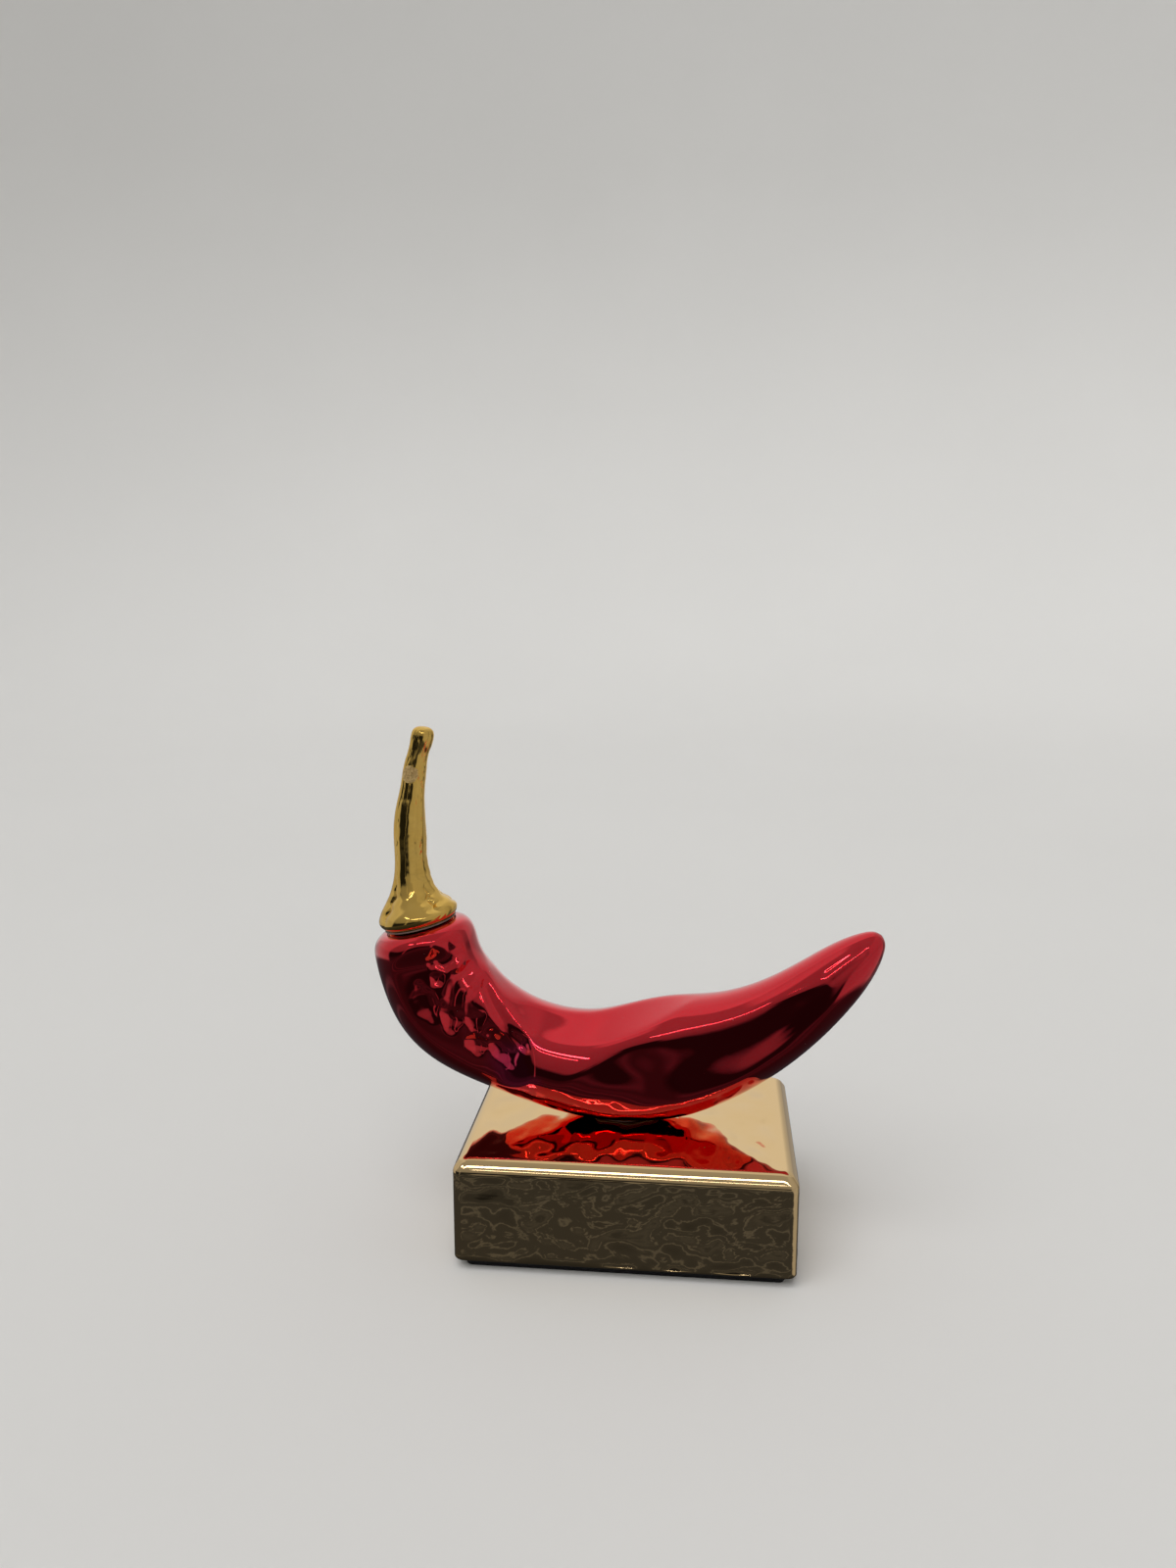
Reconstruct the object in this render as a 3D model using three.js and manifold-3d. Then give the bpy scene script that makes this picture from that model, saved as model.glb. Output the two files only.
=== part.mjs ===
// A chilli pepper ornament: a hollow ceramic chilli with a mirror-red metallic coat and a gold stem,
// glued by its belly to a hollow gold block that stands on a soft pad.
// Units are millimetres. The origin is the middle of the footprint, on the surface that the pad rests
// on; +Z is up, +X runs towards the chilli's tip, and the front of the ornament faces -Y.
import * as THREE from "three";
import { mergeVertices } from "three/addons/utils/BufferGeometryUtils.js";
import Module from "manifold-3d";

const wasm = await Module();
wasm.setup();

// Clearance left between pieces that touch
const GAP = 0.3;

// Block and pad
const BLOCK_WIDTH = 100;
const BLOCK_DEPTH = 72;
const BLOCK_HEIGHT = 31.4;
const BLOCK_CORNER = 2.8;
const CORNER_SHRINK = 0.2;
const BLOCK_TOP_ROUND = 3.9;
const BLOCK_FOOT_ROUND = 1;
const BLOCK_WALL = 4;
const FOOT_OVERCUT = 1;
const PAD_THICKNESS = 2.5;
const PAD_INSET = 3;
const PAD_CORNER = 2;
const BLOCK_FOOT = PAD_THICKNESS + GAP;
const BLOCK_TOP = BLOCK_FOOT + BLOCK_HEIGHT;

// Chilli: the fruit's centreline in the X-Z plane, from the neck to the tip
const FRUIT_SPINE = [
  [-66.1, 94.4],
  [-65.3, 91.0],
  [-63.8, 84.2],
  [-58.1, 71.6],
  [-36.7, 56.9],
  [-9.0, 51.1],
  [13.7, 54.7],
  [28.9, 59.3],
  [43.8, 67.0],
  [58.8, 79.0],
  [75.0, 95.2],
];

// Its outer radius: distance along the centreline, then radius, from the neck's mouth to the tip
const FRUIT_PROFILE = [
  [0, 9],
  [0.1, 11.8],
  [1.0, 13.7],
  [3.2, 15.4],
  [7.5, 16.1],
  [14, 16.4],
  [26, 17.2],
  [38, 16.4],
  [52, 15.4],
  [80, 17.1],
  [103, 18.4],
  [119, 15.9],
  [136, 12.9],
  [155, 9.9],
  [169, 6.4],
  [173.5, 4.3],
  [176.5, 2.2],
];
const FRUIT_WALL = 4.5;
const NECK_BORE = 6.8;
const NECK_DEPTH = 5;
const BORE_STEP = 1;
const MOUTH_OVERCUT = 2.3;
const CAVITY_END = 169;

// Furrows of a ripe, slightly crumpled fruit: each follows points of distance from the neck and angle
// round the fruit, in degrees from its upper side through the front
const FURROWS = [
  { route: [[22, 38], [34, 54], [43, 68], [54, 92]], width: 4.5, depth: 2.4 },
  { route: [[12, 48], [14, 78], [26, 112]], width: 6, depth: 2.2 },
  { route: [[88, 84], [113, 72], [137, 80], [155, 88]], width: 7, depth: 1.2 },
  { route: [[12, 310], [30, 295], [60, 280]], width: 5, depth: 2.2 },
  { route: [[8, 250], [26, 240], [48, 232]], width: 6, depth: 1.8 },
  { route: [[92, 285], [122, 295], [152, 280]], width: 7, depth: 1.2 },
];

// Stem: centreline in the X-Z plane from the foot of its spigot, inside the neck, to the cut end
const STEM_SPINE = [
  [-64.04, 85.7],
  [-66.1, 94.4],
  [-66.8, 97.4],
  [-67.7, 101.5],
  [-68.3, 106],
  [-68.8, 112.4],
  [-69.0, 123.3],
  [-68.8, 129.4],
  [-67.6, 138.6],
  [-66.7, 144.4],
  [-65.5, 149.2],
  [-64.2, 154.0],
  [-63.8, 156.8],
];
const RIM_CENTRE = [-66.8, 97.4];
const SPIGOT_LENGTH = 12;
const NECK_TILT = Math.atan2(0.23, 0.973);

// Spigot and underside of the calyx: height above the rim along the stem, then radius
const STEM_UNDERSIDE = [
  [-12, 5.6],
  [-11.4, 6.4],
  [-2.7, 6.4],
  [-2.7, 9.4],
  [-2.0, 10.9],
  [-0.9, 12.0],
];

// Calyx and stem above its rim
const STEM_PROFILE = [
  [0.3, 12.4],
  [2.5, 11.6],
  [4.8, 9.6],
  [6.8, 8.0],
  [9, 6.8],
  [15.2, 5.1],
  [26, 4.9],
  [32, 4.6],
  [41.5, 3.7],
  [47.3, 3.5],
  [52.2, 3.2],
  [56.5, 3.6],
  [58.8, 3.2],
  [59.6, 1.8],
];

// Creases between the calyx's five lobes, in degrees from its left side through the front
const CREASES = [-22, 38, 137, 202, 265];
const CREASE_DEPTH = 0.13;
const CREASE_TWIST = 0.5;
const CREASE_SHARPNESS = 0.7;
const LOBE_RISE = 4;

// Glue joints
const NECK_BEAD_RING = 11.3;
const NECK_BEAD = 0.45;
const NECK_BEAD_HEIGHT = -2.3;
const BELLY_FLAT = BLOCK_TOP + 0.9;
const BELLY_GLUE_LENGTH = 30;
const BELLY_GLUE_WIDTH = 19;
const BELLY_GLUE_RIM = 1.5;
const BELLY_X = -2;

// Mesh fineness
const FRUIT_RINGS = 60;
const FRUIT_SIDES = 40;
const CAVITY_RINGS = 22;
const CAVITY_SIDES = 24;
const STEM_RINGS = 34;
const STEM_SIDES = 35;
const CORNER_STEPS = 5;
const FOOT_STEPS = 2;
const TOP_STEPS = 6;
const BEAD_SIDES = 6;
const BEAD_STEPS = 36;
const OVAL_SIDES = 32;
const MERGE_REACH = 1e-4;

const COLOUR = { red: 0x8e0b19, gold: 0xd3a955, foam: 0x1c1c1e, glue: 0xd9cdb4 };

const redCoat = new THREE.MeshStandardMaterial({ color: COLOUR.red, roughness: 0.08, metalness: 1 });
const goldCoat = new THREE.MeshStandardMaterial({ color: COLOUR.gold, roughness: 0.12, metalness: 1 });
const foam = new THREE.MeshStandardMaterial({ color: COLOUR.foam, roughness: 0.95, metalness: 0 });
const glue = new THREE.MeshStandardMaterial({ color: COLOUR.glue, roughness: 0.35, metalness: 0 });

// A closed skin over rings of equally many points, with a fan over the first and the last ring.
function loft(rings) {
  const sides = rings[0].length;
  const points = rings.flat();
  const faces = [];
  for (let i = 0; i < rings.length - 1; i++) {
    for (let j = 0; j < sides; j++) {
      const a = i * sides + j;
      const b = i * sides + ((j + 1) % sides);
      faces.push(a, b, b + sides, a, b + sides, a + sides);
    }
  }
  const firstMiddle = points.length;
  const lastMiddle = firstMiddle + 1;
  const lastRing = (rings.length - 1) * sides;
  for (const ring of [rings[0], rings[rings.length - 1]]) {
    const middle = new THREE.Vector3();
    ring.forEach((point) => middle.addScaledVector(point, 1 / sides));
    points.push(middle);
  }
  for (let j = 0; j < sides; j++) {
    const next = (j + 1) % sides;
    faces.push(firstMiddle, next, j);
    faces.push(lastMiddle, lastRing + j, lastRing + next);
  }
  const geometry = new THREE.BufferGeometry().setFromPoints(points);
  geometry.setIndex(faces);
  return geometry;
}

// A geometry as a solid that can be cut, with its shared corners merged.
function solid(geometry) {
  const bare = geometry.clone();
  bare.deleteAttribute("normal");
  bare.deleteAttribute("uv");
  const merged = mergeVertices(bare, MERGE_REACH);
  return new wasm.Manifold(
    new wasm.Mesh({
      numProp: 3,
      vertProperties: new Float32Array(merged.attributes.position.array),
      triVerts: new Uint32Array(merged.index.array),
    }),
  );
}

// A cut solid as a geometry again.
function geometryOf(manifold) {
  const { vertProperties, triVerts } = manifold.getMesh();
  const geometry = new THREE.BufferGeometry();
  geometry.setAttribute("position", new THREE.BufferAttribute(vertProperties, 3));
  geometry.setIndex(new THREE.BufferAttribute(triVerts, 1));
  geometry.computeVertexNormals();
  return geometry;
}

function named(name, geometry, material) {
  const mesh = new THREE.Mesh(geometry, material);
  mesh.name = name;
  return mesh;
}

function smoothCurve(pairs, toPoint) {
  return new THREE.CatmullRomCurve3(pairs.map(toPoint), false, "centripetal");
}

// Centre and directions of a round section a distance along a centreline, carried on straight past its
// ends: along the line, to its upper side, and to the front.
function sectionAt(spine, distance) {
  const length = spine.getLength();
  const inside = THREE.MathUtils.clamp(distance, 0, length);
  const along = spine.getTangentAt(inside / length);
  const centre = spine.getPointAt(inside / length).addScaledVector(along, distance - inside);
  const up = new THREE.Vector3(-along.z, 0, along.x);
  const front = new THREE.Vector3(0, -1, 0);
  return { centre, up, front };
}

// A ring of points round a section, with a radius for each angle.
function ringAt(section, sides, radiusAt) {
  const ring = [];
  for (let j = 0; j < sides; j++) {
    const angle = (j / sides) * 2 * Math.PI;
    const radius = radiusAt(THREE.MathUtils.radToDeg(angle));
    const point = section.centre.clone();
    point.addScaledVector(section.up, radius * Math.cos(angle));
    point.addScaledVector(section.front, radius * Math.sin(angle));
    ring.push(point);
  }
  return ring;
}

// A rounded rectangle of points at a height, for the block; its corners tighten a little as it is inset.
function blockRing(inset, height) {
  const corner = BLOCK_CORNER - CORNER_SHRINK * inset;
  const x = BLOCK_WIDTH / 2 - inset - corner;
  const y = BLOCK_DEPTH / 2 - inset - corner;
  const ring = [];
  const centres = [[x, y], [-x, y], [-x, -y], [x, -y]];
  centres.forEach(([cx, cy], quarter) => {
    for (let step = 0; step <= CORNER_STEPS; step++) {
      const angle = ((quarter + step / CORNER_STEPS) * Math.PI) / 2;
      ring.push(new THREE.Vector3(cx + corner * Math.cos(angle), cy + corner * Math.sin(angle), height));
    }
  });
  return ring;
}

function makeBlock() {
  const rings = [];
  for (let step = 0; step <= FOOT_STEPS; step++) {
    const angle = ((step / FOOT_STEPS) * Math.PI) / 2;
    const inset = BLOCK_FOOT_ROUND * (1 - Math.sin(angle));
    rings.push(blockRing(inset, BLOCK_FOOT + BLOCK_FOOT_ROUND * (1 - Math.cos(angle))));
  }
  for (let step = 0; step <= TOP_STEPS; step++) {
    const angle = ((step / TOP_STEPS) * Math.PI) / 2;
    const inset = BLOCK_TOP_ROUND * (1 - Math.cos(angle));
    rings.push(blockRing(inset, BLOCK_TOP - BLOCK_TOP_ROUND * (1 - Math.sin(angle))));
  }
  const cavity = [
    blockRing(BLOCK_WALL, BLOCK_FOOT - FOOT_OVERCUT),
    blockRing(BLOCK_WALL, BLOCK_TOP - 2 * BLOCK_WALL),
    blockRing(2 * BLOCK_WALL, BLOCK_TOP - BLOCK_WALL),
  ];
  const shell = solid(loft(rings)).subtract(solid(loft(cavity)));
  return named("base_block", geometryOf(shell), goldCoat);
}

function makePad() {
  const x = BLOCK_WIDTH / 2 - PAD_INSET;
  const y = BLOCK_DEPTH / 2 - PAD_INSET;
  const outline = new THREE.Shape();
  outline.absarc(x - PAD_CORNER, y - PAD_CORNER, PAD_CORNER, 0, Math.PI / 2);
  outline.absarc(PAD_CORNER - x, y - PAD_CORNER, PAD_CORNER, Math.PI / 2, Math.PI);
  outline.absarc(PAD_CORNER - x, PAD_CORNER - y, PAD_CORNER, Math.PI, 1.5 * Math.PI);
  outline.absarc(x - PAD_CORNER, PAD_CORNER - y, PAD_CORNER, 1.5 * Math.PI, 2 * Math.PI);
  const sheet = new THREE.ExtrudeGeometry(outline, {
    depth: PAD_THICKNESS,
    bevelEnabled: false,
    curveSegments: CORNER_STEPS,
  });
  return named("base_pad", sheet, foam);
}

const fruitSpine = smoothCurve(FRUIT_SPINE, ([x, z]) => new THREE.Vector3(x, 0, z));
const fruitProfile = smoothCurve(FRUIT_PROFILE, ([s, r]) => new THREE.Vector3(s, r, 0));

// How far a place on the fruit is from a furrow's route, over the skin.
function distanceTo(route, distance, angle, radius) {
  let nearest = Infinity;
  const unrolled = ([s, degrees]) => {
    const turn = THREE.MathUtils.euclideanModulo(degrees - angle + 180, 360) - 180;
    return new THREE.Vector3(s, THREE.MathUtils.degToRad(turn) * radius, 0);
  };
  const here = new THREE.Vector3(distance, 0, 0);
  for (let i = 0; i < route.length - 1; i++) {
    const stretch = new THREE.Line3(unrolled(route[i]), unrolled(route[i + 1]));
    const closest = stretch.closestPointToPoint(here, true, new THREE.Vector3());
    nearest = Math.min(nearest, closest.distanceTo(here));
  }
  return nearest;
}

function furrowDepth(distance, angle, radius) {
  let depth = 0;
  for (const furrow of FURROWS) {
    const away = distanceTo(furrow.route, distance, angle, radius) / furrow.width;
    depth += furrow.depth * Math.exp(-away * away);
  }
  return depth;
}

// The fruit's outer skin, or one set out from it by a clearance, with its belly cut flat.
function fruitOutside(clearance) {
  const rings = [];
  for (let i = 0; i <= FRUIT_RINGS; i++) {
    const { x: distance, y: radius } = fruitProfile.getPointAt(i / FRUIT_RINGS);
    const section = sectionAt(fruitSpine, distance);
    rings.push(
      ringAt(section, FRUIT_SIDES, (angle) => {
        const skin = radius + clearance - furrowDepth(distance, angle, radius);
        return Math.max(skin, radius / 2);
      }),
    );
  }
  const below = new THREE.BoxGeometry(BLOCK_WIDTH, BLOCK_DEPTH, BLOCK_TOP);
  below.translate(0, 0, BELLY_FLAT - clearance - BLOCK_TOP / 2);
  return solid(loft(rings)).subtract(solid(below));
}

// The hollow of the fruit: a straight bore at the neck, then a space that follows the outer skin.
function fruitCavity() {
  const rings = [];
  for (const distance of [-MOUTH_OVERCUT, NECK_DEPTH]) {
    rings.push(ringAt(sectionAt(fruitSpine, distance), CAVITY_SIDES, () => NECK_BORE));
  }
  const start = NECK_DEPTH + BORE_STEP;
  for (let i = 0; i <= CAVITY_RINGS; i++) {
    const wanted = THREE.MathUtils.lerp(start, CAVITY_END, i / CAVITY_RINGS);
    const radius = radiusOfFruit(wanted) - FRUIT_WALL;
    rings.push(ringAt(sectionAt(fruitSpine, wanted), CAVITY_SIDES, () => radius));
  }
  return solid(loft(rings));
}

// The fruit's outer radius at a distance along it, between the profile's points.
function radiusOfFruit(distance) {
  const next = FRUIT_PROFILE.findIndex(([s]) => s >= distance);
  const [s0, r0] = FRUIT_PROFILE[next - 1];
  const [s1, r1] = FRUIT_PROFILE[next];
  return THREE.MathUtils.mapLinear(distance, s0, s1, r0, r1);
}

function makeFruit() {
  const shell = fruitOutside(0).subtract(fruitCavity());
  return named("chilli_body", geometryOf(shell), redCoat);
}

// How deep the creases between the calyx's lobes cut at an angle, from 0 on a lobe to 1 in a crease.
function creaseAt(angle, height) {
  const turned = THREE.MathUtils.euclideanModulo(angle - height * CREASE_TWIST - CREASES[0], 360) + CREASES[0];
  const ends = [...CREASES, CREASES[0] + 360];
  const next = ends.findIndex((crease) => crease > turned);
  const across = (turned - ends[next - 1]) / (ends[next] - ends[next - 1]);
  return 1 - Math.pow(Math.sin(Math.PI * across), CREASE_SHARPNESS);
}

function makeStem() {
  const spine = smoothCurve(STEM_SPINE, ([x, z]) => new THREE.Vector3(x, 0, z));
  const profile = smoothCurve(STEM_PROFILE, ([h, r]) => new THREE.Vector3(h, r, 0));
  const rings = STEM_UNDERSIDE.map(([height, radius]) =>
    ringAt(sectionAt(spine, height + SPIGOT_LENGTH), STEM_SIDES, () => radius),
  );
  for (let i = 0; i <= STEM_RINGS; i++) {
    const { x: height, y: radius } = profile.getPointAt(i / STEM_RINGS);
    const lobed = CREASE_DEPTH * THREE.MathUtils.smoothstep(height, 0, LOBE_RISE);
    rings.push(
      ringAt(sectionAt(spine, height + SPIGOT_LENGTH), STEM_SIDES, (angle) => {
        return radius * (1 - lobed * creaseAt(angle, height));
      }),
    );
  }
  return named("stem_and_calyx", geometryOf(solid(loft(rings))), goldCoat);
}

function makeNeckGlue() {
  const torus = new THREE.TorusGeometry(NECK_BEAD_RING, NECK_BEAD, BEAD_SIDES, BEAD_STEPS);
  const bead = named("neck_adhesive", torus, glue);
  const [x, z] = RIM_CENTRE;
  const tilt = NECK_TILT;
  bead.position.set(x - NECK_BEAD_HEIGHT * Math.sin(tilt), 0, z + NECK_BEAD_HEIGHT * Math.cos(tilt));
  bead.rotation.y = -tilt;
  return bead;
}

// The glue under the belly: an oval bead on the block's top that the belly is pressed into.
function makeBellyGlue() {
  const bead = new THREE.CylinderGeometry(0.5, 0.5, BELLY_GLUE_RIM, OVAL_SIDES);
  bead.rotateX(Math.PI / 2);
  bead.scale(BELLY_GLUE_LENGTH, BELLY_GLUE_WIDTH, 1);
  bead.translate(BELLY_X, 0, BLOCK_TOP + GAP + BELLY_GLUE_RIM / 2);
  const pressed = solid(bead).subtract(fruitOutside(GAP));
  return named("belly_adhesive", geometryOf(pressed), glue);
}

const ornament = new THREE.Group();
ornament.name = "chilli_ornament";
ornament.add(makeBlock(), makePad(), makeFruit(), makeStem(), makeNeckGlue(), makeBellyGlue());

export default ornament;
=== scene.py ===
import math

import bpy
import numpy as np
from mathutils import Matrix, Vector, noise


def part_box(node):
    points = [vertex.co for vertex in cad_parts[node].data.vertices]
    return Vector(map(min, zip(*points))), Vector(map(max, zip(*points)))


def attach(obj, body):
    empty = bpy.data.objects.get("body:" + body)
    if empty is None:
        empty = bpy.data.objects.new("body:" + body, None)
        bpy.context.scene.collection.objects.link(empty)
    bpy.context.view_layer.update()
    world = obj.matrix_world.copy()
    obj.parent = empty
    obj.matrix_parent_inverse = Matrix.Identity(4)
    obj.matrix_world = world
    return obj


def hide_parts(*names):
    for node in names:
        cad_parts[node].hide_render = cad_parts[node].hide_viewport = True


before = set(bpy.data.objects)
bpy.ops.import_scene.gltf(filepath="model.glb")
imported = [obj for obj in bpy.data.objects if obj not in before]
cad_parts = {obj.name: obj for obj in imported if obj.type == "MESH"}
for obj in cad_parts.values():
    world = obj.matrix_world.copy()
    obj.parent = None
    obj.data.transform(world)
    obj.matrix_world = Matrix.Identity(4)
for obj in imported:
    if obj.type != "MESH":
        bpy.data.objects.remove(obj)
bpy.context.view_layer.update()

MM = 0.001

# Steps along a curve when it is measured, and the shift of the noise from one seed to the next
FINE_STEPS = 4000
SPINE_STEPS = 3000
SEED_STEP = (17.3, 5.1, 9.7)

# Camera, close to the ornament and a little above it: its place, lens and sensor are in millimetres, and
# the nearest thing that it shows is in metres
CAMERA_PLACE = (21.8, -347.2, 199.9)
CAMERA_FORWARD = (-0.1004, 0.9804, -0.1702)
CAMERA_LENS = 27.0
CAMERA_SENSOR = 36.0
CAMERA_NEAR = 0.01

# Block, from its CAD node
BLOCK_LOW, BLOCK_HIGH = (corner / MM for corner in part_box("base_block"))
BLOCK_WIDTH = BLOCK_HIGH.x - BLOCK_LOW.x
BLOCK_DEPTH = BLOCK_HIGH.y - BLOCK_LOW.y
BLOCK_TOP = BLOCK_HIGH.z
BLOCK_FOOT = BLOCK_LOW.z
BLOCK_CORNER = 2.8
SMALLEST_CORNER = 0.2
CORNER_SHRINK = 0.2
BLOCK_TOP_ROUND = 3.9
BLOCK_FOOT_ROUND = 1.0
BLOCK_WALL = 4.0
CORNER_STEPS = 9
SIDE_STEPS = (100, 72, 100, 72)
FOOT_RINGS = 6
FACE_RINGS = 28
EDGE_STEPS = 200
EDGE_RINGS = 20
TOP_RINGS = 34
MIDDLE_SLIT = 0.5
ON_FACE = 1e-6
# The rounded top edge dwells at one slope, which shows as a bright band
BAND_SLOPE = math.radians(31.5)
BAND_SPREAD = 0.03
BAND_SHARE = 11.0
# Waves of the block's skin: height, size, share of the distance that counts along Y, and seed
TOP_WAVES = ((0.6, 6.0, 0.45, 1), (0.3, 12.0, 1.0, 2), (0.09, 2.8, 0.6, 6))
SIDE_WAVES = ((0.42, 9.0, 1.0, 3), (0.22, 4.0, 1.0, 4))
TOP_WAVE_FADE = 4.0
SIDE_WAVE_FADE = 3.0
FOOT_WAVE_FADE = 2.0

# Fruit: centreline in the X-Z plane from the neck to the tip, and (distance along it, radius)
FRUIT_SPINE = [
    (-66.1, 94.4),
    (-65.3, 91.0),
    (-63.8, 84.2),
    (-58.1, 71.6),
    (-36.7, 56.9),
    (-9.0, 51.1),
    (13.7, 54.7),
    (28.9, 59.3),
    (43.8, 67.0),
    (58.8, 79.0),
    (75.0, 95.2),
]
FRUIT_PROFILE = [
    (0.0, 9.0),
    (0.1, 11.8),
    (1.0, 13.7),
    (3.2, 15.4),
    (7.5, 16.1),
    (14.0, 16.4),
    (26.0, 17.2),
    (38.0, 16.4),
    (52.0, 15.4),
    (80.0, 17.1),
    (103.0, 18.4),
    (119.0, 15.9),
    (136.0, 12.9),
    (155.0, 9.9),
    (169.0, 6.4),
    (173.5, 4.3),
    (176.2, 2.0),
    (176.9, 0.0),
]
FRUIT_SIDES = 300
FRUIT_ROWS = 520
FRUIT_WALL = 4.5
CAVITY_END = 169.0
CAVITY_ROWS = 40
NECK_BORE = 6.8
NECK_DEPTH = 5.0
GLUE_GAP = 0.3
BELLY_FLAT = BLOCK_TOP + GLUE_GAP
DEEPEST_SHARE = 0.5
FRUIT_WAVE = 0.05
FRUIT_WAVE_SIZE = 9.0
FRUIT_WAVE_SHARES = (0.3, 1.0, 0.3)

# Dents of the crumpled fruit: bowls along routes of points, each in millimetres from the neck and
# degrees round from the upper side through the front. They meet in sharp ridges. Half-width and depth
# are in millimetres; shape is 2 for a round bowl and nearer 1 for a V
FRONT_DENTS = [
    {"route": [(8.4, 42), (8.2, 54), (9.2, 70)], "width": 5.4, "depth": 1.3, "shape": 2.0},
    {"route": [(14.6, 66), (16.4, 78)], "width": 2.6, "depth": 0.8, "shape": 1.4},
    {"route": [(16.0, 96), (20.0, 97), (25.0, 100)], "width": 4.6, "depth": 0.7, "shape": 1.8},
    {
        "route": [(15.5, 34), (19.0, 47), (23.5, 62), (28.0, 78), (31.0, 94)],
        "width": 4.9,
        "depth": 1.3,
        "shape": 1.5,
    },
    {"route": [(25.0, 39), (30.0, 50), (34.0, 62), (37.0, 74)], "width": 4.6, "depth": 1.3, "shape": 1.6},
    {"route": [(38.5, 84), (41.5, 101)], "width": 3.8, "depth": 1.2, "shape": 1.6},
    {"route": [(43.0, 70), (48.5, 82), (51.5, 96)], "width": 4.8, "depth": 1.4, "shape": 1.7},
    {
        "route": [(27.5, 30), (36.0, 39), (45.0, 51), (51.0, 62), (55.0, 70)],
        "width": 2.8,
        "depth": 1.2,
        "shape": 1.4,
    },
]
BACK_DENTS = [
    {"route": [(14, 310), (30, 297), (58, 282)], "width": 6.0, "depth": 2.6, "shape": 1.4},
    {"route": [(10, 262), (24, 252), (40, 246)], "width": 6.0, "depth": 2.2, "shape": 1.6},
    {"route": [(30, 278), (44, 266), (52, 262)], "width": 4.6, "depth": 1.8, "shape": 1.4},
]
DENT_ENDS = 1.4

# Flat faces of the fruit, as wide shallow chords that narrow to nothing over a taper at their ends
CRUMPLED_FACE = {
    "route": [(2, 79), (16, 83), (30, 86), (44, 89), (60, 97)],
    "width": 11.4,
    "taper": 9.0,
}
UPPER_FACE = {
    "route": [(38, 34), (62, 32), (75, 28), (92, 18), (116, 0)],
    "width": 8.0,
    "taper": 24.0,
}
RIGHT_FACE = {
    "route": [(66, 100), (84, 92), (98, 86), (115, 83), (135, 84), (163, 85)],
    "width": 11.6,
    "taper": 28.0,
}
FULL_RADIUS = 18.0

# Folds: soft grooves, or ridges where the depth is below zero. Crisp is 2 for a soft fold and nearer 1
# for a sharp one, and ends is the length over which a fold fades away
LONG_RIDGE = {
    "route": [(14.0, 12), (30.0, 22), (43.7, 33), (50.0, 46), (56.0, 60)],
    "width": 4.0,
    "depth": -0.8,
    "crisp": 2,
}
THIN_RIDGE = {
    "route": [(10.6, 32), (13.4, 45), (17.6, 60), (21.9, 72), (25.0, 86)],
    "width": 1.5,
    "depth": -0.4,
    "crisp": 1.6,
}
FULLNESS = {
    "route": [(46, 104), (62, 104), (78, 102), (96, 90)],
    "width": 9.0,
    "depth": -1.7,
    "crisp": 2,
    "ends": 16.0,
}
LOWER_RIGHT_RIDGE = {
    "route": [(112, 122), (128, 112), (142, 106), (153, 106), (161, 100), (166, 88)],
    "width": 2.6,
    "depth": -0.3,
    "crisp": 2,
    "ends": 20.0,
}
TIP_WRINKLES = [
    {"route": [(156, 74), (166, 78), (172, 84)], "width": 0.9, "depth": 0.25, "crisp": 1.8},
    {"route": [(156, 56), (165, 58), (172, 62)], "width": 0.8, "depth": 0.18, "crisp": 1.8},
]
BACK_FOLD = {"route": [(84, 285), (122, 295), (160, 280)], "width": 7.0, "depth": 1.4, "crisp": 2.2}
FOLDS = [LONG_RIDGE, THIN_RIDGE, FULLNESS, LOWER_RIGHT_RIDGE, *TIP_WRINKLES, BACK_FOLD]
FOLD_ENDS = 2.5

# The radii at which the skin is laid flat and routes are measured, the crushed skin's lumps, and how far
# edges are softened, all in millimetres
FLAT_RADIUS = 16
ROUTE_RADIUS = 15
CRUSH_SIZE = 5.0
CRUSH_DEPTH = 0.14
CRUSH_START = 0.5
SKIN_SOFTNESS = 0.32
FACE_SOFTNESS = 0.9

# Stem: centreline from the foot of its spigot to the cut end, and (height above its rim, radius). The
# centreline starts one spigot's length below the rim
STEM_SPINE = [
    (-64.04, 85.7),
    (-66.1, 94.4),
    (-66.8, 97.4),
    (-67.7, 101.5),
    (-68.3, 106.0),
    (-68.8, 112.4),
    (-69.0, 123.3),
    (-68.8, 129.4),
    (-67.6, 138.6),
    (-66.7, 144.4),
    (-65.5, 149.2),
    (-64.2, 154.0),
    (-63.8, 156.8),
]
STEM_UNDERSIDE = [(-12.0, 5.6), (-11.4, 6.4), (-2.7, 6.4), (-2.7, 9.4), (-2.0, 10.9), (-0.9, 12.0)]
STEM_PROFILE = [
    (-0.9, 12.0),
    (0.3, 12.4),
    (2.5, 11.6),
    (4.8, 9.6),
    (6.8, 8.0),
    (9.0, 6.8),
    (15.2, 5.1),
    (26.0, 4.9),
    (32.0, 4.6),
    (41.5, 3.7),
    (47.3, 3.5),
    (52.2, 3.2),
    (56.5, 3.5),
    (58.8, 2.9),
    (59.6, 1.5),
    (59.8, 0.0),
]
STEM_SIDES = 180
STEM_ROWS = 320
SPIGOT_LENGTH = 12.0
RIM_CENTRE = (-66.8, 97.4)
NECK_TILT = math.atan2(0.23, 0.973)
# Creases between the calyx's lobes: degrees round from the left, and depth as a share of the radius
CREASES = (-22.0, 38.0, 137.0, 202.0, 265.0)
CREASE_TWIST = 0.5
CREASE_SHARPNESS = 0.6
CREASE_AT_RIM = 0.03
CREASE_GAIN = 0.17
CREASE_RISE = 4
CREASE_LOSS = 0.8
STEM_START = 7
STEM_BLEND = 6
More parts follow.
